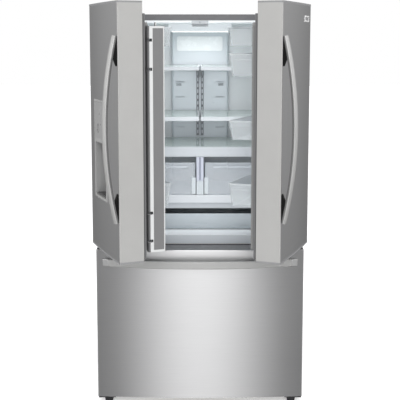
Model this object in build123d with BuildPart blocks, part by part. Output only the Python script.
from build123d import *
import os
from math import asin, cos, degrees, radians, sin

os.makedirs("parts", exist_ok=True)

# ---------------------------------------------------------------------------
# Driving dimensions, in millimetres. X is to the right, Y is to the back and Z is up.
# Depths are measured backwards from the cabinet's front face; heights are from the floor.
# ---------------------------------------------------------------------------
FACE_Y = -117.0  # the cabinet's front face
CASE_HALF_WIDTH = 455.0
CASE_BOTTOM = 61.0
CASE_TOP = 1725.0
CASE_DEPTH = 725.0
SHEET = 2.0  # steel sheet
WALL = 3.0  # moulded liners
BIN_WALL = 2.5  # clear bins and drawers

FRESH_BOTTOM = 711.0  # openings in the front frame
FRESH_TOP = 1700.0
FREEZER_BOTTOM = 94.5
FREEZER_TOP = 655.5
OPENING_HALF = 417.0

FLOOR_Z = 750.0  # inside of the fresh food liner
CEILING_Z = 1690.0
LINER_HALF = 410.0
LINER_DEPTH = 630.0
COMPARTMENT_TOP = 295.0  # machine compartment, low at the back
COMPARTMENT_DEPTH = 490.0

SHELF_FRONT = 131.0  # depth of the front edges of shelves and drawers
SHELF_BACK = 575.0

HINGE_X = 427.6  # door hinge axes
HINGE_DEPTH = -57.4
DOOR_OPEN = 67.5  # degrees, as the doors stand at rest
DOOR_EDGE = 27.7  # hinge axis to the door's outer side
DOOR_FREE = 424.8  # hinge axis to the door's free side
DOOR_BACK = 44.6  # hinge axis to the door's inner face
DOOR_FRONT = 58.5  # hinge axis to the crown of the bowed front, on the centre line
DOOR_BOTTOM = 728.0
DOOR_TOP = 1765.5
CAP = 8.0  # end cap thickness
BOW_RADIUS = 5436.0  # the bow that the doors and the drawer share
PIN_RADIUS = 6.0
RUNNING_GAP = 0.05  # radial clearance of a pin in its hole

DRAWER_BOTTOM = 36.5
DRAWER_TOP = 708.0
DRAWER_BACK = -12.8

GASKET_WIDTH = 16.0
GASKET_THICK = 11.0

MULLION_U = 399.0  # mullion pivot, in the left door's own coordinates
MULLION_V = 76.4
MULLION_BOTTOM = 766.0
MULLION_TOP = 1668.0
MULLION_LUGS = (812.0, 926.0, 1500.0, 1614.0)

# ---------------------------------------------------------------------------
# Planes. Each door plane has its x along the door from the hinge axis to the free side,
# its y through the door towards the food, and its z up.
# ---------------------------------------------------------------------------
CABINET = Plane((0, FACE_Y, 0))
LEFT_DOOR = Plane(
    origin=(-HINGE_X, FACE_Y + HINGE_DEPTH, 0),
    x_dir=(cos(radians(DOOR_OPEN)), -sin(radians(DOOR_OPEN)), 0),
    z_dir=(0, 0, 1),
)
# The mullion bar is stored folded: its own x runs from the pivot towards the food.
MULLION = Plane(
    origin=LEFT_DOOR.from_local_coords((MULLION_U, MULLION_V, 0)),
    x_dir=LEFT_DOOR.y_dir,
    z_dir=(0, 0, 1),
)


def across(plane, x):
    """The upright plane that cuts a plane's x: its own x is the depth and its y is the height."""
    return Plane(
        origin=plane.from_local_coords((x, 0, 0)),
        x_dir=plane.y_dir,
        z_dir=plane.x_dir,
    )


def facing(plane, depth):
    """The upright plane that faces forward at a depth: its own x is the plane's and its y is up."""
    return Plane(
        origin=plane.from_local_coords((0, depth, 0)),
        x_dir=plane.x_dir,
        z_dir=-plane.y_dir,
    )


def block(plane, x, y, z, mode=Mode.ADD, corner=0):
    """A straight block between two values along each axis of a plane."""
    with BuildSketch(plane.offset(z[0])) as outline:
        with Locations(((x[0] + x[1]) / 2, (y[0] + y[1]) / 2)):
            if corner:
                RectangleRounded(x[1] - x[0], y[1] - y[0], corner)
            else:
                Rectangle(x[1] - x[0], y[1] - y[0])
    extrude(outline.sketch, amount=z[1] - z[0], mode=mode)


def panel(plane, x, z, depth, corner, mode=Mode.ADD):
    """An upright panel with rounded corners, between two depths."""
    with BuildSketch(facing(plane, depth[0])) as outline:
        with Locations(((x[0] + x[1]) / 2, (z[0] + z[1]) / 2)):
            RectangleRounded(x[1] - x[0], z[1] - z[0], corner)
    extrude(outline.sketch, amount=depth[0] - depth[1], mode=mode)


def post(plane, x, y, z, radius, mode=Mode.ADD):
    """An upright round post."""
    with BuildSketch(plane.offset(z[0])) as outline:
        with Locations((x, y)):
            Circle(radius)
    extrude(outline.sketch, amount=z[1] - z[0], mode=mode)


def axle(plane, depth, height, x, radius, mode=Mode.ADD):
    """A round bar along a plane's x."""
    with BuildSketch(across(plane, x[0])) as outline:
        with Locations((depth, height)):
            Circle(radius)
    extrude(outline.sketch, amount=x[1] - x[0], mode=mode)


def both_sides(x):
    """A span on the right and the same span on the left."""
    return ((x[0], x[1]), (-x[1], -x[0]))


def save(piece, label):
    """Names a finished piece and writes it out."""
    piece.label = label
    export_step(piece, f"parts/{label}.step")


def save_right(piece, label):
    """Writes the right hand twin of a left door piece."""
    with BuildPart() as twin:
        mirror(piece, about=Plane.YZ)
    save(twin.part, label)


# ---------------------------------------------------------------------------
# Cabinet
# ---------------------------------------------------------------------------
with BuildPart() as outer_case:
    block(CABINET, (-CASE_HALF_WIDTH, CASE_HALF_WIDTH), (SHEET, CASE_DEPTH - SHEET), (30, CASE_TOP))
    fillet(outer_case.edges().filter_by(Axis.Y).group_by(Axis.Z)[-1], 6)
    inner_half = CASE_HALF_WIDTH - SHEET
    block(
        CABINET,
        (-inner_half, inner_half),
        (SHEET, CASE_DEPTH - SHEET),
        (30, CASE_TOP - SHEET),
        Mode.SUBTRACT,
    )
save(outer_case.part, "outer_case")

with BuildPart() as front_frame:
    block(CABINET, (-CASE_HALF_WIDTH, CASE_HALF_WIDTH), (0, SHEET), (76, CASE_TOP))
    fillet(front_frame.edges().filter_by(Axis.Y).group_by(Axis.Z)[-1], 6)
    for low, high in ((FREEZER_BOTTOM, FREEZER_TOP), (FRESH_BOTTOM, FRESH_TOP)):
        panel(CABINET, (-OPENING_HALF, OPENING_HALF), (low, high), (-1, 3), 6, Mode.SUBTRACT)
save(front_frame.part, "front_frame")

with BuildPart() as rear_panel:
    block(
        CABINET,
        (-CASE_HALF_WIDTH, CASE_HALF_WIDTH),
        (CASE_DEPTH - SHEET, CASE_DEPTH),
        (COMPARTMENT_TOP + 1, CASE_TOP),
    )
    fillet(rear_panel.edges().filter_by(Axis.Y).group_by(Axis.Z)[-1], 6)
    for rib in range(-2, 3):
        panel(
            CABINET,
            (rib * 160 - 40, rib * 160 + 40),
            (420, 1600),
            (CASE_DEPTH - 0.8, CASE_DEPTH + 1),
            12,
            Mode.SUBTRACT,
        )
save(rear_panel.part, "rear_panel")

with BuildPart() as fresh_food_liner:
    outer_half = LINER_HALF + WALL
    block(
        CABINET,
        (-outer_half, outer_half),
        (SHEET + 0.5, LINER_DEPTH + WALL),
        (FLOOR_Z - WALL, CEILING_Z + WALL),
    )
    block(
        CABINET,
        (0.5 - OPENING_HALF, OPENING_HALF - 0.5),
        (SHEET + 0.5, SHEET + 0.5 + WALL),
        (FRESH_BOTTOM + 0.5, FRESH_TOP - 0.5),
    )
    block(
        CABINET,
        (-LINER_HALF, LINER_HALF),
        (0, LINER_DEPTH),
        (FLOOR_Z, CEILING_Z),
        Mode.SUBTRACT,
    )
    # ledges on each side: one carries the crisper frame, one the rims of the deli drawer
    for x in both_sides((LINER_HALF - 8, LINER_HALF)):
        block(CABINET, x, (SHELF_FRONT + 20, LINER_DEPTH), (895, 902.7))
    for x in both_sides((LINER_HALF - 14, LINER_HALF)):
        block(CABINET, x, (SHELF_FRONT + 6, LINER_DEPTH), (812, 820.5))
save(fresh_food_liner.part, "fresh_food_liner")

with BuildPart() as freezer_liner:
    step_depth = COMPARTMENT_DEPTH - 25
    step_z = COMPARTMENT_TOP + 15
    outer_half = OPENING_HALF - 0.5
    front = SHEET + 0.3
    top = FREEZER_TOP - 0.5
    block(CABINET, (-outer_half, outer_half), (front, step_depth), (FREEZER_BOTTOM + 0.5, top))
    block(CABINET, (-outer_half, outer_half), (front, 600), (step_z, top))
    inner_half = outer_half - WALL
    floor_z = FREEZER_BOTTOM + 0.5 + WALL
    roof_z = FREEZER_TOP - 0.5 - WALL
    block(CABINET, (-inner_half, inner_half), (0, step_depth - WALL), (floor_z, roof_z), Mode.SUBTRACT)
    block(CABINET, (-inner_half, inner_half), (0, 600 - WALL), (step_z + WALL, roof_z), Mode.SUBTRACT)
save(freezer_liner.part, "freezer_liner")

with BuildPart() as insulation_foam:
    foam_half = CASE_HALF_WIDTH - SHEET - 0.5
    block(
        CABINET,
        (-foam_half, foam_half),
        (SHEET + WALL + 1, CASE_DEPTH - SHEET - 0.5),
        (CASE_BOTTOM, CASE_TOP - SHEET - 0.5),
    )
    liner_half = LINER_HALF + WALL + 0.5
    block(
        CABINET,
        (-liner_half, liner_half),
        (0, LINER_DEPTH + WALL + 0.5),
        (FLOOR_Z - WALL - 0.5, CEILING_Z + WALL + 0.5),
        Mode.SUBTRACT,
    )
    freezer_span = (FREEZER_BOTTOM, FREEZER_TOP)
    block(CABINET, (-OPENING_HALF, OPENING_HALF), (0, step_depth + 0.5), freezer_span, Mode.SUBTRACT)
    block(CABINET, (-OPENING_HALF, OPENING_HALF), (0, 600.5), (step_z - 0.5, FREEZER_TOP), Mode.SUBTRACT)
    block(CABINET, (-460, 460), (COMPARTMENT_DEPTH, 730), (0, COMPARTMENT_TOP), Mode.SUBTRACT)
save(insulation_foam.part, "insulation_foam")

# Base frame: side runners, cross members, machine floor, and the black foot brackets
# that reach forward under the freezer drawer.
FOOT_X = 410.0
FOOT_DEPTH = -50.0
ROLLER_X = 425.0
ROLLER_DEPTH = 675.0
ROLLER_RADIUS = 20.0
with BuildPart() as base_frame:
    block(CABINET, (-452, 452), (SHEET + 0.5, 40), (34.5, 60))
    block(CABINET, (-452, 452), (COMPARTMENT_DEPTH, 722), (30, 33))
    for x in both_sides((400, 452)):
        block(CABINET, x, (40, 722), (30, 60))
    for x in both_sides((378, 452.5)):
        block(CABINET, x, (-92, 40), (29, 34.5))
    for x in (-ROLLER_X, ROLLER_X):
        block(CABINET, (x - 10, x + 10), (650, 700), (29, 46), Mode.SUBTRACT)
        for side in (-1, 1):
            edge = x + side * 13
            block(CABINET, (edge - 3, edge + 3), (663, 687), (10, 33))
    axle(CABINET, ROLLER_DEPTH, ROLLER_RADIUS, (-460, 460), 4 + RUNNING_GAP, Mode.SUBTRACT)
    for x in (-FOOT_X, FOOT_X):
        post(CABINET, x, FOOT_DEPTH, (0, 40), 5.5, Mode.SUBTRACT)
save(base_frame.part, "base_frame")

with BuildPart() as levelling_feet:
    for x in (-FOOT_X, FOOT_X):
        with BuildSketch(CABINET.offset(0)) as sole:
            with Locations((x, FOOT_DEPTH)):
                Circle(17)
        with BuildSketch(CABINET.offset(20)) as shoulder:
            with Locations((x, FOOT_DEPTH)):
                Circle(21)
        loft([sole.sketch.face(), shoulder.sketch.face()])
        post(CABINET, x, FOOT_DEPTH, (20, 27), 21)
        post(CABINET, x, FOOT_DEPTH, (27, 35.5), 5.4)
save(levelling_feet.part, "levelling_feet")

with BuildPart() as rear_rollers:
    axle(CABINET, ROLLER_DEPTH, ROLLER_RADIUS, (-444, 444), 4)
    for x in (-ROLLER_X, ROLLER_X):
        axle(CABINET, ROLLER_DEPTH, ROLLER_RADIUS, (x - 8, x + 8), ROLLER_RADIUS)
save(rear_rollers.part, "rear_rollers")

# ---------------------------------------------------------------------------
# Machine compartment and cold circuit
# ---------------------------------------------------------------------------
FAN_DEPTH = 608.0
FAN_Z = 150.0
with BuildPart() as compressor:
    block(CABINET, (120, 330), (535, 685), (41, 45), corner=12)
    with BuildSketch(CABINET.offset(45)):
        with Locations((225, 610)):
            Ellipse(92, 66)
    extrude(amount=165)
    fillet(compressor.faces().sort_by(Axis.Z)[-1].edges(), 40)
    for x, y in ((135, 550), (315, 550), (135, 670), (315, 670)):
        post(CABINET, x, y, (33, 41), 10)
    post(CABINET, 225, 640, (180, 235), 6)
save(compressor.part, "compressor")

with BuildPart() as condenser_coil:
    block(CABINET, (-390, -150), (530, 690), (38, 46))
    block(CABINET, (-390, -150), (530, 690), (238, 246))
    for fin in range(13):
        fin_x = -389 + fin * 19.8
        block(CABINET, (fin_x - 1, fin_x + 1), (532, 688), (46, 238))
    for depth in (560, 610, 660):
        for height in (90, 140, 190):
            axle(CABINET, depth, height, (-394, -146), 5)
save(condenser_coil.part, "condenser_coil")

with BuildPart() as fan_bracket:
    with BuildSketch(across(CABINET, -120)):
        with Locations((FAN_DEPTH, FAN_Z)):
            Rectangle(200, 200)
            Circle(91, mode=Mode.SUBTRACT)
    extrude(amount=5)
    axle(CABINET, FAN_DEPTH, FAN_Z, (-82, -42), 22)
    for low in (-12, 12):
        block(CABINET, (-60, -54), (FAN_DEPTH - 96, FAN_DEPTH + 96), (FAN_Z + low - 4, FAN_Z + low + 4))
    for depth in (FAN_DEPTH - 97, FAN_DEPTH + 93):
        block(CABINET, (-119, -54), (depth, depth + 4), (FAN_Z - 20, FAN_Z + 20))
    axle(CABINET, FAN_DEPTH, FAN_Z, (-114, -82), 3)
    block(CABINET, (-122, -98), (FAN_DEPTH - 60, FAN_DEPTH + 60), (33, 52))
save(fan_bracket.part, "fan_bracket")

with BuildPart() as condenser_fan:
    axle(CABINET, FAN_DEPTH, FAN_Z, (-112, -90), 20)
    for turn in range(5):
        blade = Plane(
            origin=CABINET.from_local_coords((-101, FAN_DEPTH, FAN_Z)),
            x_dir=(0, cos(radians(72 * turn)), sin(radians(72 * turn))),
            z_dir=(1, 0, 0),
        ).rotated((28, 0, 0))
        with BuildSketch(blade.offset(-1)) as outline:
            with Locations((50, 0)):
                RectangleRounded(68, 34, 10)
        extrude(outline.sketch, amount=2)
    axle(CABINET, FAN_DEPTH, FAN_Z, (-120, -80), 3 + RUNNING_GAP, Mode.SUBTRACT)
save(condenser_fan.part, "condenser_fan")

with BuildPart() as machine_cover:
    block(CABINET, (-448, 448), (CASE_DEPTH - SHEET, CASE_DEPTH), (36, COMPARTMENT_TOP))
    for column in (-300, 0, 300):
        for row in range(8):
            slot_z = 80 + row * 24
            panel(
                CABINET,
                (column - 110, column + 110),
                (slot_z, slot_z + 8),
                (CASE_DEPTH - SHEET - 1, CASE_DEPTH + 1),
                3.9,
                Mode.SUBTRACT,
            )
    # round gland where the mains lead enters
    with BuildSketch(facing(CABINET, CASE_DEPTH)) as gland:
        with Locations((415, 250)):
            Circle(11)
    extrude(gland.sketch, amount=10)
    with BuildSketch(facing(CABINET, CASE_DEPTH)) as lead_hole:
        with Locations((415, 250)):
            Circle(5)
    extrude(lead_hole.sketch, amount=10, mode=Mode.SUBTRACT)
save(machine_cover.part, "machine_cover")

with BuildPart() as evaporator:
    for z in (330, 470):
        block(CABINET, (-250, 250), (548, 592), (z, z + 4))
    for fin in range(26):
        fin_x = -248 + fin * 19.84
        block(CABINET, (fin_x - 1, fin_x + 1), (550, 590), (334, 470))
    for height in (365, 400, 435):
        axle(CABINET, 570, height, (-258, 258), 5)
save(evaporator.part, "evaporator")

with BuildPart() as evaporator_cover:
    block(CABINET, (-405, 405), (530, 534), (step_z + WALL + 1, 648))
    for column in range(-3, 4):
        panel(CABINET, (column * 110 - 35, column * 110 + 35), (590, 602), (529, 535), 5, Mode.SUBTRACT)
        panel(CABINET, (column * 110 - 35, column * 110 + 35), (612, 624), (529, 535), 5, Mode.SUBTRACT)
save(evaporator_cover.part, "evaporator_cover")

# ---------------------------------------------------------------------------
# Fresh food interior
# ---------------------------------------------------------------------------
TOWER_FRONT = 592.0
with BuildPart() as air_tower:
    block(CABINET, (-142, 142), (TOWER_FRONT, LINER_DEPTH - 0.3), (940, 1662))
    fillet(air_tower.edges().filter_by(Axis.Z).group_by(Axis.Y)[0], 14)
    panel(CABINET, (-115, 112), (1562, 1634), (TOWER_FRONT - 5, TOWER_FRONT + 1), 10)
    for side in (-1, 1):
        for row in range(5):
            low = 1180 + row * 75
            panel(
                CABINET,
                (side * 100 - 22, side * 100 + 22),
                (low, low + 7),
                (TOWER_FRONT - 1, TOWER_FRONT + 12),
                3.4,
                Mode.SUBTRACT,
            )
save(air_tower.part, "air_tower")

# Slotted steel tracks that the shelves hook into: a close pair on the tower, one on each side
with BuildPart() as shelf_tracks:
    for track_x, back in ((-11, TOWER_FRONT - 0.3), (11, TOWER_FRONT - 0.3), (-392, 629.7), (392, 629.7)):
        block(CABINET, (track_x - 7, track_x + 7), (back - 4, back), (1140, 1480))
        for slot in range(11):
            low = 1150 + slot * 29
            width = (track_x - 2.5, track_x + 2.5)
            block(CABINET, width, (back - 5, back + 1), (low, low + 18), Mode.SUBTRACT)
save(shelf_tracks.part, "shelf_tracks")

with BuildPart() as light_housing:
    block(CABINET, (-150, 150), (300, 400), (1655, CEILING_Z - 0.3))
    fillet(light_housing.edges().filter_by(Axis.Z).group_by(Axis.Y)[0], 8)
    block(CABINET, (-132, 132), (312, 388), (1650, 1664), Mode.SUBTRACT)
save(light_housing.part, "light_housing")

with BuildPart() as light_lens:
    block(CABINET, (-131.7, 131.7), (312.3, 387.7), (1653, 1663.7))
    fillet(light_lens.faces().sort_by(Axis.Z)[0].edges(), 2)
save(light_lens.part, "light_lens")

# Pocket on the ceiling that the mullion's pin runs into as the doors close
with BuildPart() as mullion_guide:
    block(CABINET, (-36, 36), (SHEET + WALL + 1, 76), (1687, CEILING_Z - 0.3))
    block(CABINET, (-36, -32), (SHEET + WALL + 1, 76), (1673, 1687))
    block(CABINET, (28, 36), (SHEET + WALL + 1, 76), (1673, 1687))
    block(CABINET, (-36, 36), (64, 76), (1673, 1687))
    block(CABINET, (-36, 36), (-1, SHEET + 0.3), (1684, 1699))
    block(CABINET, (-36, 36), (-1, SHEET + WALL + 1.5), (1684, CEILING_Z - 0.3))
save(mullion_guide.part, "mullion_guide")

SHELVES = {"upper_shelves": (1478.5, 1495.0), "middle_shelves": (1250.0, 1269.0)}
SHELF_SPAN = (3.5, 403.0)
GLASS_THICK = 4.0
for shelf_name, (low, high) in SHELVES.items():
    with BuildPart() as shelves:
        for x in both_sides(SHELF_SPAN):
            block(CABINET, x, (SHELF_FRONT, SHELF_BACK), (low, high))
            block(
                CABINET,
                (x[0] + 11, x[1] - 11),
                (SHELF_FRONT + 14, SHELF_BACK - 12),
                (low - 1, high + 1),
                Mode.SUBTRACT,
            )
            block(
                CABINET,
                (x[0] + 5, x[1] - 5),
                (SHELF_FRONT + 8, SHELF_BACK - 6),
                (high - GLASS_THICK - 0.5, high + 1),
                Mode.SUBTRACT,
            )
        front_edges = shelves.edges().filter_by(Axis.X).group_by(Axis.Y)[0]
        fillet(front_edges, 3)
        # sheet steel cantilever arms under both ends of each shelf
        for arm_x in (SHELF_SPAN[0] + 4, SHELF_SPAN[1] - 7):
            for x in both_sides((arm_x, arm_x + 3)):
                with BuildSketch(across(CABINET, x[0])) as arm:
                    with BuildLine():
                        Polyline(
                            (SHELF_FRONT + 120, low),
                            (SHELF_BACK + 10, low),
                            (SHELF_BACK + 10, low - 46),
                            (SHELF_BACK - 4, low - 46),
                            (SHELF_FRONT + 120, low - 6),
                            close=True,
                        )
                    make_face()
                extrude(arm.sketch, amount=x[1] - x[0])
    save(shelves.part, shelf_name)

COVER_BOTTOM = 1086.0
COVER_TOP = 1132.0
with BuildPart() as crisper_cover:
    block(CABINET, (-405, 405), (SHELF_FRONT, SHELF_BACK), (COVER_TOP - 12, COVER_TOP))
    block(CABINET, (-405, 405), (SHELF_FRONT, SHELF_FRONT + 14), (COVER_BOTTOM, COVER_TOP - 12))
    fillet(crisper_cover.edges().filter_by(Axis.X).group_by(Axis.Y)[0], 4)
    for x in both_sides((393, 405)):
        block(CABINET, x, (SHELF_FRONT + 14, SHELF_BACK), (COVER_BOTTOM, COVER_TOP - 12))
    block(CABINET, (-390, 390), (SHELF_FRONT + 20, SHELF_BACK - 14), (1100, 1140), Mode.SUBTRACT)
    block(CABINET, (-394, 394), (SHELF_FRONT + 16, SHELF_BACK - 10), (COVER_TOP - 4.5, 1140), Mode.SUBTRACT)
save(crisper_cover.part, "crisper_cover")

with BuildPart() as shelf_glass:
    for low, high in SHELVES.values():
        for x in both_sides((SHELF_SPAN[0] + 5.4, SHELF_SPAN[1] - 5.4)):
            block(CABINET, x, (SHELF_FRONT + 8.4, SHELF_BACK - 6.4), (high - GLASS_THICK - 0.4, high - 0.4))
    block(
        CABINET,
        (-393.6, 393.6),
        (SHELF_FRONT + 16.4, SHELF_BACK - 10.4),
        (COVER_TOP - 4.4, COVER_TOP - 0.4),
    )
save(shelf_glass.part, "shelf_glass")

# Crisper frame: the cover over the deli drawer, with its deep front band, and the divider on it
with BuildPart() as crisper_frame:
    block(CABINET, (-405, 405), (SHELF_FRONT, SHELF_BACK), (903, 911))
    block(CABINET, (-405, 405), (SHELF_FRONT, SHELF_FRONT + 14), (872, 903))
    fillet(crisper_frame.edges().filter_by(Axis.X).group_by(Axis.Y)[0], 4)
    block(CABINET, (-405, 405), (SHELF_FRONT + 6, SHELF_FRONT + 14), (848, 872))
    block(CABINET, (-5, 5), (SHELF_FRONT + 16, SHELF_BACK - 20), (911, COVER_BOTTOM - 0.5))
    block(CABINET, (-16, 16), (SHELF_FRONT + 3, SHELF_FRONT + 16), (911, COVER_BOTTOM - 0.5))
save(crisper_frame.part, "crisper_frame")


def open_box(x, depth, z, rim):
    """A moulded drawer, open at the top, with a rim that turns outwards."""
    block(CABINET, (x[0] + rim, x[1] - rim), depth, z, corner=10)
    block(CABINET, x, (depth[0], depth[1]), (z[1] - 3, z[1]), corner=8)
    block(
        CABINET,
        (x[0] + rim + BIN_WALL, x[1] - rim - BIN_WALL),
        (depth[0] + BIN_WALL, depth[1] - BIN_WALL),
        (z[0] + BIN_WALL, z[1] + 1),
        Mode.SUBTRACT,
        corner=8,
    )


CRISPER_TOP = 1060.0
for side_name, x in zip(("right", "left"), both_sides((18, 399))):
    with BuildPart() as crisper:
        open_box(x, (SHELF_FRONT + 2, SHELF_BACK - 25), (911.4, CRISPER_TOP), 3)
        middle = (x[0] + x[1]) / 2
        # finger grip: a lip that stands forward along the top of the front wall
        block(CABINET, (middle - 150, middle + 150), (SHELF_FRONT - 3, SHELF_FRONT + 3), (1044, 1047))
        block(CABINET, (middle - 150, middle + 150), (SHELF_FRONT - 3, SHELF_FRONT - 0.5), (1036, 1044))
    save(crisper.part, f"crisper_{side_name}")

with BuildPart() as deli_drawer:
    open_box((-398, 398), (SHELF_FRONT + 1, SHELF_BACK - 25), (754, 824), 3)
    block(CABINET, (-380, 380), (SHELF_FRONT - 5, SHELF_FRONT + 2), (754, 760))
    block(CABINET, (-34, 34), (SHELF_FRONT - 5, SHELF_FRONT + 2), (760, 776))
save(deli_drawer.part, "deli_drawer")

# ---------------------------------------------------------------------------
# Hinges
# ---------------------------------------------------------------------------
with BuildPart() as top_hinges:
    for x in (-HINGE_X, HINGE_X):
        block(CABINET, (x - 24, x + 24), (12, 110), (CASE_TOP, CASE_TOP + 6))
        block(CABINET, (x - 12, x + 12), (12, 24), (CASE_TOP, CASE_TOP + 21))
        block(CABINET, (x - 12, x + 12), (HINGE_DEPTH, 24), (CASE_TOP + 15, CASE_TOP + 21))
        post(CABINET, x, HINGE_DEPTH, (CASE_TOP + 15, CASE_TOP + 21), 12)
        post(CABINET, x, HINGE_DEPTH, (CASE_TOP - 10, CASE_TOP + 15), PIN_RADIUS)
save(top_hinges.part, "top_hinges")

with BuildPart() as hinge_covers:
    for x in (-HINGE_X, HINGE_X):
        block(CABINET, (x - 26, x + 26), (4, 124), (CASE_TOP, CASE_TOP + 28), corner=6)
    fillet(hinge_covers.faces().filter_by(Axis.Z).group_by(Axis.Z)[-1].edges(), 5)
    for x in (-HINGE_X, HINGE_X):
        block(CABINET, (x - 24.4, x + 24.4), (11, 120), (CASE_TOP - 1, CASE_TOP + 22), Mode.SUBTRACT)
        block(CABINET, (x - 12.5, x + 12.5), (0, 20), (CASE_TOP - 1, CASE_TOP + 22), Mode.SUBTRACT)
save(hinge_covers.part, "hinge_covers")

with BuildPart() as centre_hinges:
    for side in (-1, 1):
        x = side * HINGE_X
        inner, outer = sorted((side * 398, side * 453))
        block(CABINET, (inner, outer), (-4, -0.2), (680, 719))
        arm_inner, arm_outer = sorted((x - side * 12, side * 453))
        block(CABINET, (arm_inner, arm_outer), (HINGE_DEPTH - 12, -0.2), (713, 719))
        post(CABINET, x, HINGE_DEPTH, (719, 744), PIN_RADIUS)
save(centre_hinges.part, "centre_hinges")

# ---------------------------------------------------------------------------
# Doors. Both are drawn as the left one, and the right one is its mirror image.
# ---------------------------------------------------------------------------
DIKE_U = (20.0, 386.0)
DIKE_Z = (764.0, 1684.0)
DIKE_V = 80.0
PAN_U = (44.0, 358.0)
PAN_Z = (792.0, 1656.0)
PAN_V = 24.0
HINGE_POCKET_Z = CASE_TOP + 10
DISPENSER_U = (50.0, 262.0)
DISPENSER_Z = (952.0, 1368.0)


def slab(inset, z, back=DOOR_BACK, mode=Mode.ADD):
    """The door's outline in plan, with its bowed front, drawn in from the real one by inset."""
    with BuildSketch(LEFT_DOOR.offset(z[0])) as outline:
        low = (inset - DOOR_EDGE, -80)
        high = (DOOR_FREE - inset, back)
        with Locations(((low[0] + high[0]) / 2, (low[1] + high[1]) / 2)):
            Rectangle(high[0] - low[0], high[1] - low[1])
        with Locations((HINGE_X, BOW_RADIUS - DOOR_FRONT)):
            Circle(BOW_RADIUS - inset, mode=Mode.INTERSECT)
    extrude(outline.sketch, amount=z[1] - z[0], mode=mode)


def hinge_clearances():
    """Room for the hinge arm at the top corner, and the holes for both hinge pins."""
    block(LEFT_DOOR, (-40, 16), (-31, 50), (HINGE_POCKET_Z, DOOR_TOP + 5), Mode.SUBTRACT)
    post(LEFT_DOOR, 0, 0, (CASE_TOP - 14, DOOR_TOP), PIN_RADIUS + RUNNING_GAP, Mode.SUBTRACT)
    post(LEFT_DOOR, 0, 0, (DOOR_BOTTOM - 1, 748), PIN_RADIUS + RUNNING_GAP, Mode.SUBTRACT)


def door_skin(with_dispenser):
    """Folded stainless sheet round the front and both sides."""
    with BuildPart() as skin:
        slab(0, (DOOR_BOTTOM + CAP, DOOR_TOP - CAP))
        uprights = skin.edges().filter_by(Axis.Z)
        front = [e for e in uprights if LEFT_DOOR.to_local_coords(e.center()).Y < 0]
        fillet(front, 5)
        slab(SHEET, (DOOR_BOTTOM, DOOR_TOP), DOOR_BACK + 5, Mode.SUBTRACT)
        hinge_clearances()
        if with_dispenser:
            block(LEFT_DOOR, DISPENSER_U, (-80, 0), DISPENSER_Z, Mode.SUBTRACT)
    return skin.part


def door_liner(with_dispenser):
    """Foamed inner panel: the core of the door, the raised rim and the pan inside it."""
    with BuildPart() as liner:
        slab(SHEET + 0.5, (DOOR_BOTTOM + CAP + 0.2, DOOR_TOP - CAP - 0.2))
        panel(LEFT_DOOR, DIKE_U, DIKE_Z, (DOOR_BACK - 1, DIKE_V), 18)
        panel(LEFT_DOOR, PAN_U, PAN_Z, (PAN_V, DIKE_V + 1), 20, Mode.SUBTRACT)
        hinge_clearances()
        if with_dispenser:
            low_z, high_z = DISPENSER_Z
            panel(LEFT_DOOR, (30, 300), (low_z - 14, high_z + 14), (PAN_V - 1, 74), 20)
            block(
                LEFT_DOOR,
                (DISPENSER_U[0] - 0.3, DISPENSER_U[1] + 0.3),
                (-80, 22.3),
                (low_z - 0.3, high_z + 0.3),
                Mode.SUBTRACT,
            )
            for z in MULLION_LUGS:
                block(LEFT_DOOR, (DIKE_U[1] - 6, MULLION_U), (MULLION_V - 7, MULLION_V + 7), (z - 5, z + 5))
                post(LEFT_DOOR, MULLION_U, MULLION_V, (z - 5, z + 5), 7)
                post(LEFT_DOOR, MULLION_U, MULLION_V, (z - 16, z + 16), 4)
    return liner.part


def door_caps():
    """Top and bottom end caps."""
    with BuildPart() as caps:
        for low in (DOOR_BOTTOM, DOOR_TOP - CAP):
            slab(0, (low, low + CAP))
        hinge_clearances()
    return caps.part


def door_gasket():
    """Magnetic seal: a broad foot and a narrower bellows."""
    with BuildPart() as gasket:
        u = (1.0, DOOR_FREE - 4)
        z = (738.0, 1717.0)
        narrow = 3.0
        rings = ((0, DOOR_BACK + 0.1, DOOR_BACK + 4), (narrow, DOOR_BACK + 4, DOOR_BACK + GASKET_THICK))
        for inset, near, far in rings:
            inner = GASKET_WIDTH - inset
            panel(LEFT_DOOR, (u[0] + inset, u[1] - inset), (z[0] + inset, z[1] - inset), (near, far), 6)
            panel(
                LEFT_DOOR,
                (u[0] + inner, u[1] - inner),
                (z[0] + inner, z[1] - inner),
                (near, far),
                3,
                Mode.SUBTRACT,
            )
    return gasket.part


HANDLE_U = 408.0
HANDLE_WIDTH = 28.0
HANDLE_MIDDLE_Z = 1262.0
HANDLE_HALF = 368.0
HANDLE_STANDOFF = 108.0  # hinge axis to the bar's centre line, at the middle
HANDLE_END = 64.4  # the same, at the ends
HANDLE_THICK = 22.0
HANDLE_FOOT = 115.0  # along the door; the foot's inner end slopes down to the bar
HANDLE_FOOT_SLOPE = 2.6
HANDLE_FOOT_WIDTH = 20.0


def bowed_radius(half, rise):
    """The radius of an arc from half its chord and its rise."""
    return (half * half + rise * rise) / (2 * rise)


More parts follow.
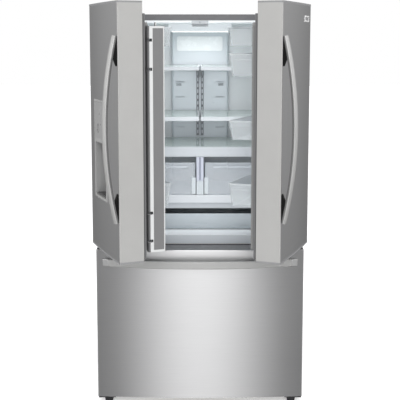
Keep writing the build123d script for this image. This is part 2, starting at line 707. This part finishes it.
def door_handle():
    """Bowed oval bar with a wedge shaped foot under each end."""
    radius = bowed_radius(HANDLE_HALF, HANDLE_STANDOFF - HANDLE_END)
    half_turn = degrees(asin(HANDLE_HALF / radius))
    centre = (radius - HANDLE_STANDOFF, HANDLE_MIDDLE_Z)
    bow = Axis(LEFT_DOOR.from_local_coords((0, *centre)), LEFT_DOOR.x_dir)
    near = -DOOR_FRONT - 0.2
    far = near - 40
    with BuildPart() as handle:
        with BuildSketch(LEFT_DOOR.offset(HANDLE_MIDDLE_Z)) as section:
            with Locations((HANDLE_U, -HANDLE_STANDOFF)):
                Ellipse(HANDLE_WIDTH / 2, HANDLE_THICK / 2)
        for turn in (half_turn, -half_turn):
            revolve(section.sketch, axis=bow, revolution_arc=turn)
        reach = HANDLE_HALF + 10
        slab(-0.15, (HANDLE_MIDDLE_Z - reach, HANDLE_MIDDLE_Z + reach), mode=Mode.SUBTRACT)
        for end in (-1, 1):
            tip = HANDLE_MIDDLE_Z + end * (HANDLE_HALF - 2)
            inner = tip - end * HANDLE_FOOT
            with BuildSketch(across(LEFT_DOOR, HANDLE_U - HANDLE_FOOT_WIDTH / 2)) as foot:
                with Locations(centre):
                    Circle(radius)
                with BuildLine() as outline:
                    Polyline(
                        (near, tip),
                        (near, inner),
                        (far, inner + end * HANDLE_FOOT_SLOPE * (near - far)),
                        (far, tip),
                        close=True,
                    )
                make_face(mode=Mode.INTERSECT)
            extrude(foot.sketch, amount=HANDLE_FOOT_WIDTH)
    return handle.part


BIN_U = (26.0, 382.0)
BIN_REACH = 182.0
BIN_DRAFT = 12.0
LOWER_BIN_Z = (944.0, 1036.0)
MIDDLE_BIN_Z = (1215.0, 1292.0)
UPPER_BIN_Z = (1470.0, 1560.0)
TOP_BOX_Z = (1590.0, 1664.0)


def door_bin(z, draft=BIN_DRAFT):
    """A bin that hangs on the door's raised rim and flares towards its top."""
    solids = ((0, z[0], Mode.ADD), (BIN_WALL, z[0] + BIN_WALL, Mode.SUBTRACT))
    for inset, low, mode in solids:
        profiles = []
        for height, shrink in ((low, draft), (z[1], 0)):
            with BuildSketch(LEFT_DOOR.offset(height)) as outline:
                near = (BIN_U[0] + shrink / 3 + inset, DIKE_V + 0.2 + inset)
                far = (BIN_U[1] - shrink / 3 - inset, BIN_REACH - shrink - inset)
                with Locations(((near[0] + far[0]) / 2, (near[1] + far[1]) / 2)):
                    RectangleRounded(far[0] - near[0], far[1] - near[1], 14 - inset)
            profiles.append(outline.sketch.face())
        loft(profiles, mode=mode)


# Left door
left_skin = door_skin(True)
save(left_skin, "left_door_skin")
save(door_liner(True), "left_door_liner")
caps = door_caps()
save(caps, "left_door_end_caps")
gasket = door_gasket()
save(gasket, "left_door_gasket")
handle = door_handle()
save(handle, "left_door_handle")

with BuildPart() as left_door_bins:
    door_bin(LOWER_BIN_Z)
    door_bin(TOP_BOX_Z, 3)
save(left_door_bins.part, "left_door_bins")

# Right door
save_right(door_skin(False), "right_door_skin")
save_right(door_liner(False), "right_door_liner")
save_right(caps, "right_door_end_caps")
save_right(gasket, "right_door_gasket")
save_right(handle, "right_door_handle")

with BuildPart() as bins:
    door_bin(LOWER_BIN_Z)
    door_bin(MIDDLE_BIN_Z)
    door_bin(UPPER_BIN_Z)
    door_bin((TOP_BOX_Z[0], TOP_BOX_Z[1] - 6), 3)
save_right(bins.part, "right_door_bins")

# Lift-up lid of the dairy box at the top of the right door, turning on its back edge
LID_Z = TOP_BOX_Z[1] - 2
with BuildPart() as lid:
    block(LEFT_DOOR, (BIN_U[0] - 2, BIN_U[1] + 2), (DIKE_V + 7, BIN_REACH + 1), (LID_Z - 1.5, LID_Z + 1.5))
    block(LEFT_DOOR, (BIN_U[0] - 2, BIN_U[1] + 2), (BIN_REACH + 0.5, BIN_REACH + 3), (1640, LID_Z + 1.5))
    axle(LEFT_DOOR, DIKE_V + 6, LID_Z, (BIN_U[0] - 2, BIN_U[1] + 2), 3)
save_right(lid.part, "dairy_lid")

# ---------------------------------------------------------------------------
# Water dispenser in the left door
# ---------------------------------------------------------------------------
CAVITY_U = (68.0, 244.0)
CAVITY_Z = (962.0, 1190.0)
CAVITY_BACK = 14.0
CONTROL_U = (60.0, 252.0)
CONTROL_Z = (1207.0, 1358.0)
PADDLE_U = (126.0, 186.0)
PADDLE_AXIS = (-10.0, 1166.0)
PADDLE_PIN = 2.5


def bowed_block(u, v_back, z, proud, mode=Mode.ADD):
    """A block let into the door, with a front that follows the door's bow."""
    with BuildSketch(LEFT_DOOR.offset(z[0])) as outline:
        with Locations(((u[0] + u[1]) / 2, (v_back - 100) / 2)):
            Rectangle(u[1] - u[0], v_back + 100)
        with Locations((HINGE_X, BOW_RADIUS - DOOR_FRONT)):
            Circle(BOW_RADIUS + proud, mode=Mode.INTERSECT)
    extrude(outline.sketch, amount=z[1] - z[0], mode=mode)


with BuildPart() as dispenser_housing:
    fitted_u = (DISPENSER_U[0] + 0.3, DISPENSER_U[1] - 0.3)
    fitted_z = (DISPENSER_Z[0] + 0.3, DISPENSER_Z[1] - 0.3)
    bowed_block(fitted_u, 22, fitted_z, 1)
    # recess for the control panel
    control_gap = 0.4
    with BuildSketch(LEFT_DOOR.offset(CONTROL_Z[0] - control_gap)) as recess:
        with Locations(((CONTROL_U[0] + CONTROL_U[1]) / 2, -60)):
            Rectangle(CONTROL_U[1] - CONTROL_U[0] + 2 * control_gap, 60)
        with Locations((HINGE_X, BOW_RADIUS - DOOR_FRONT)):
            Circle(BOW_RADIUS - 2.2, mode=Mode.SUBTRACT)
    extrude(recess.sketch, amount=CONTROL_Z[1] - CONTROL_Z[0] + 2 * control_gap, mode=Mode.SUBTRACT)
    panel(LEFT_DOOR, CAVITY_U, CAVITY_Z, (-80, CAVITY_BACK), 16, Mode.SUBTRACT)
    block(LEFT_DOOR, CAVITY_U, (-80, CAVITY_BACK), (CAVITY_Z[0], CAVITY_Z[0] + 40), Mode.SUBTRACT)
    # ears that hold the paddle's pin
    for u in ((PADDLE_U[0] - 12, PADDLE_U[0] - 4), (PADDLE_U[1] + 4, PADDLE_U[1] + 12)):
        block(LEFT_DOOR, u, (PADDLE_AXIS[0] - 7, CAVITY_BACK + 1), (PADDLE_AXIS[1] - 8, CAVITY_Z[1] + 1))
    axle(
        LEFT_DOOR,
        PADDLE_AXIS[0],
        PADDLE_AXIS[1],
        (PADDLE_U[0] - 13, PADDLE_U[1] + 13),
        PADDLE_PIN + RUNNING_GAP,
        Mode.SUBTRACT,
    )
    # spout
    post(LEFT_DOOR, 156, -34, (1172, 1192), 9)
    post(LEFT_DOOR, 156, -34, (1165, 1180), 4, Mode.SUBTRACT)
save(dispenser_housing.part, "dispenser_housing")

with BuildPart() as dispenser_panel:
    with BuildSketch(LEFT_DOOR.offset(CONTROL_Z[0])):
        with Locations(((CONTROL_U[0] + CONTROL_U[1]) / 2, -60)):
            Rectangle(CONTROL_U[1] - CONTROL_U[0], 60)
        with Locations((HINGE_X, BOW_RADIUS - DOOR_FRONT)):
            Circle(BOW_RADIUS + 1.4, mode=Mode.INTERSECT)
            Circle(BOW_RADIUS - 2, mode=Mode.SUBTRACT)
    extrude(amount=CONTROL_Z[1] - CONTROL_Z[0])
save(dispenser_panel.part, "dispenser_panel")

with BuildPart() as dispenser_paddle:
    axle(LEFT_DOOR, PADDLE_AXIS[0], PADDLE_AXIS[1], (PADDLE_U[0] - 11, PADDLE_U[1] + 11), PADDLE_PIN)
    block(LEFT_DOOR, PADDLE_U, (PADDLE_AXIS[0] - 2, PADDLE_AXIS[0] + 2), (1050, PADDLE_AXIS[1]))
    fillet(dispenser_paddle.faces().sort_by(Axis.Z)[0].edges(), 1.5)
save(dispenser_paddle.part, "dispenser_paddle")

with BuildPart() as drip_tray:
    block(LEFT_DOOR, (72, 240), (-44, 8), (962.3, 969), corner=6)
    for slot in range(12):
        slot_u = 82 + slot * 13.2
        block(LEFT_DOOR, (slot_u, slot_u + 5), (-38, 2), (965, 970), Mode.SUBTRACT)
save(drip_tray.part, "drip_tray")

# ---------------------------------------------------------------------------
# Hinged mullion that closes the gap between the doors. x is from its pivot, and its
# sealing face is on its -y side; it is drawn folded.
# ---------------------------------------------------------------------------
MULLION_X = (-8.4, 62.0)
MULLION_Y = (-19.0, 3.6)
PLATE_X = (13.0, 56.0)
with BuildPart() as mullion_bar:
    block(MULLION, MULLION_X, MULLION_Y, (MULLION_BOTTOM, MULLION_TOP))
    uprights = mullion_bar.edges().filter_by(Axis.Z)
    pivot_edge = [
        e
        for e in uprights
        if MULLION.to_local_coords(e.center()).X < 0 and MULLION.to_local_coords(e.center()).Y < 0
    ]
    fillet(pivot_edge, 10)
    upright = mullion_bar.edges().filter_by(Axis.Z)
    fillet([e for e in upright if MULLION.to_local_coords(e.center()).X > 30], 3)
    block(
        MULLION,
        (PLATE_X[0] - 0.3, PLATE_X[1] + 0.3),
        (MULLION_Y[0] - 1, MULLION_Y[0] + 1),
        (MULLION_BOTTOM + 8.7, MULLION_TOP - 7.7),
        Mode.SUBTRACT,
    )
    for z in MULLION_LUGS:
        block(MULLION, (-12, 10), (-22, 6), (z - 6, z + 6), Mode.SUBTRACT)
        post(MULLION, 0, 0, (z - 18, z + 18), 4 + RUNNING_GAP, Mode.SUBTRACT)
    post(MULLION, 28.6, -6, (MULLION_TOP, MULLION_TOP + 15), 4)
save(mullion_bar.part, "mullion_bar")

with BuildPart() as mullion_plate:
    block(
        MULLION,
        PLATE_X,
        (MULLION_Y[0] - 0.4, MULLION_Y[0] + 0.9),
        (MULLION_BOTTOM + 9, MULLION_TOP - 8),
    )
save(mullion_plate.part, "mullion_plate")

# ---------------------------------------------------------------------------
# Freezer drawer
# ---------------------------------------------------------------------------
FRONT_CROWN = DOOR_FRONT - HINGE_DEPTH


def drawer_slab(inset, z, back=DRAWER_BACK, mode=Mode.ADD):
    """The drawer front's outline in plan, with the same bow as the doors."""
    with BuildSketch(CABINET.offset(z[0])) as outline:
        with Locations((0, (back - 200) / 2)):
            Rectangle(2 * (CASE_HALF_WIDTH - inset), back + 200)
        with Locations((0, BOW_RADIUS - FRONT_CROWN)):
            Circle(BOW_RADIUS - inset, mode=Mode.INTERSECT)
    extrude(outline.sketch, amount=z[1] - z[0], mode=mode)


with BuildPart() as freezer_front_skin:
    drawer_slab(0, (DRAWER_BOTTOM, DRAWER_TOP))
    fillet(freezer_front_skin.edges().filter_by(Axis.Z).group_by(Axis.Y)[0], 5)
    fillet(freezer_front_skin.faces().sort_by(Axis.Z)[-1].edges().sort_by(Axis.Y)[0], 5)
    drawer_slab(SHEET, (DRAWER_BOTTOM + SHEET, DRAWER_TOP - SHEET), DRAWER_BACK + 5, Mode.SUBTRACT)
save(freezer_front_skin.part, "freezer_front_skin")

with BuildPart() as freezer_front_liner:
    drawer_slab(SHEET + 0.5, (DRAWER_BOTTOM + SHEET + 0.5, DRAWER_TOP - SHEET - 2.5))
    panel(CABINET, (-396, 396), (110, 640), (DRAWER_BACK - 1, 8), 20)
    panel(CABINET, (-370, 370), (136, 614), (-4, 9), 14, Mode.SUBTRACT)
save(freezer_front_liner.part, "freezer_front_liner")

with BuildPart() as freezer_gasket:
    for inset, near, far in ((0, DRAWER_BACK + 0.1, -8.8), (3.0, -8.8, DRAWER_BACK + GASKET_THICK)):
        inner = GASKET_WIDTH - inset
        panel(CABINET, (inset - 440, 440 - inset), (77 + inset, 673 - inset), (near, far), 6)
        panel(CABINET, (inner - 440, 440 - inner), (77 + inner, 673 - inner), (near, far), 3, Mode.SUBTRACT)
save(freezer_gasket.part, "freezer_gasket")

DRAWER_HANDLE_HALF = 424.0
DRAWER_HANDLE_Z = (635.0, 668.0)
DRAWER_HANDLE_THICK = 12.0
DRAWER_HANDLE_MIDDLE = FRONT_CROWN + 53
DRAWER_HANDLE_END = FRONT_CROWN - 9.5
with BuildPart() as freezer_handle:
    radius = bowed_radius(DRAWER_HANDLE_HALF, DRAWER_HANDLE_MIDDLE - DRAWER_HANDLE_END)
    centre = (0, radius - DRAWER_HANDLE_MIDDLE)
    with BuildSketch(CABINET.offset(DRAWER_HANDLE_Z[0])):
        with Locations(centre):
            Circle(radius + DRAWER_HANDLE_THICK / 2)
            Circle(radius - DRAWER_HANDLE_THICK / 2, mode=Mode.SUBTRACT)
        with Locations((0, -DRAWER_HANDLE_MIDDLE + 20)):
            Rectangle(2 * DRAWER_HANDLE_HALF, 120, mode=Mode.INTERSECT)
    extrude(amount=DRAWER_HANDLE_Z[1] - DRAWER_HANDLE_Z[0])
    fillet(freezer_handle.edges().filter_by(GeomType.CIRCLE), 4)
    for side in (-1, 1):
        with BuildSketch(CABINET.offset(DRAWER_HANDLE_Z[0] + 4)) as foot:
            with Locations((side * (DRAWER_HANDLE_HALF - 34), -FRONT_CROWN - 2)):
                Rectangle(60, 60)
            with Locations(centre):
                Circle(radius - DRAWER_HANDLE_THICK / 2 + 0.5, mode=Mode.INTERSECT)
            with Locations((0, BOW_RADIUS - FRONT_CROWN)):
                Circle(BOW_RADIUS + 0.1, mode=Mode.SUBTRACT)
        extrude(foot.sketch, amount=DRAWER_HANDLE_Z[1] - DRAWER_HANDLE_Z[0] - 8)
save(freezer_handle.part, "freezer_handle")

# Telescopic slides: three nested channels on each side
SLIDE_Z = 265.0


def channels(web, flange, half_height, depth):
    """A pair of channels, open towards the drawer."""
    for x in both_sides((flange, web)):
        block(CABINET, x, depth, (SLIDE_Z - half_height, SLIDE_Z + half_height))
    for x in both_sides((flange - 1, web - SHEET)):
        block(
            CABINET,
            x,
            (depth[0] - 1, depth[1] + 1),
            (SLIDE_Z - half_height + SHEET, SLIDE_Z + half_height - SHEET),
            Mode.SUBTRACT,
        )


with BuildPart() as freezer_fixed_rails:
    channels(413.2, 400.0, 25.0, (24, 455))
save(freezer_fixed_rails.part, "freezer_fixed_rails")

with BuildPart() as freezer_middle_rails:
    channels(410.6, 397.0, 22.0, (22, 445))
save(freezer_middle_rails.part, "freezer_middle_rails")

with BuildPart() as freezer_inner_rails:
    channels(407.8, 393.0, 19.0, (8.2, 440))
save(freezer_inner_rails.part, "freezer_inner_rails")

BASKET_RIM = 396.0
with BuildPart() as freezer_basket:
    open_box((-392, 392), (14, 440), (114, BASKET_RIM), 4)
    for side in (-1, 1):
        for slot in range(8):
            depth = 50 + slot * 46
            inner, outer = sorted((side * 380, side * 395))
            block(CABINET, (inner, outer), (depth, depth + 14), (310, 375), Mode.SUBTRACT)
save(freezer_basket.part, "freezer_basket")

with BuildPart() as freezer_upper_basket:
    open_box((-384, 384), (20, 330), (BASKET_RIM + 0.6, 520), 4)
    for side in (-1, 1):
        for slot in range(5):
            depth = 50 + slot * 50
            inner, outer = sorted((side * 372, side * 387))
            block(CABINET, (inner, outer), (depth, depth + 14), (430, 500), Mode.SUBTRACT)
save(freezer_upper_basket.part, "freezer_upper_basket")
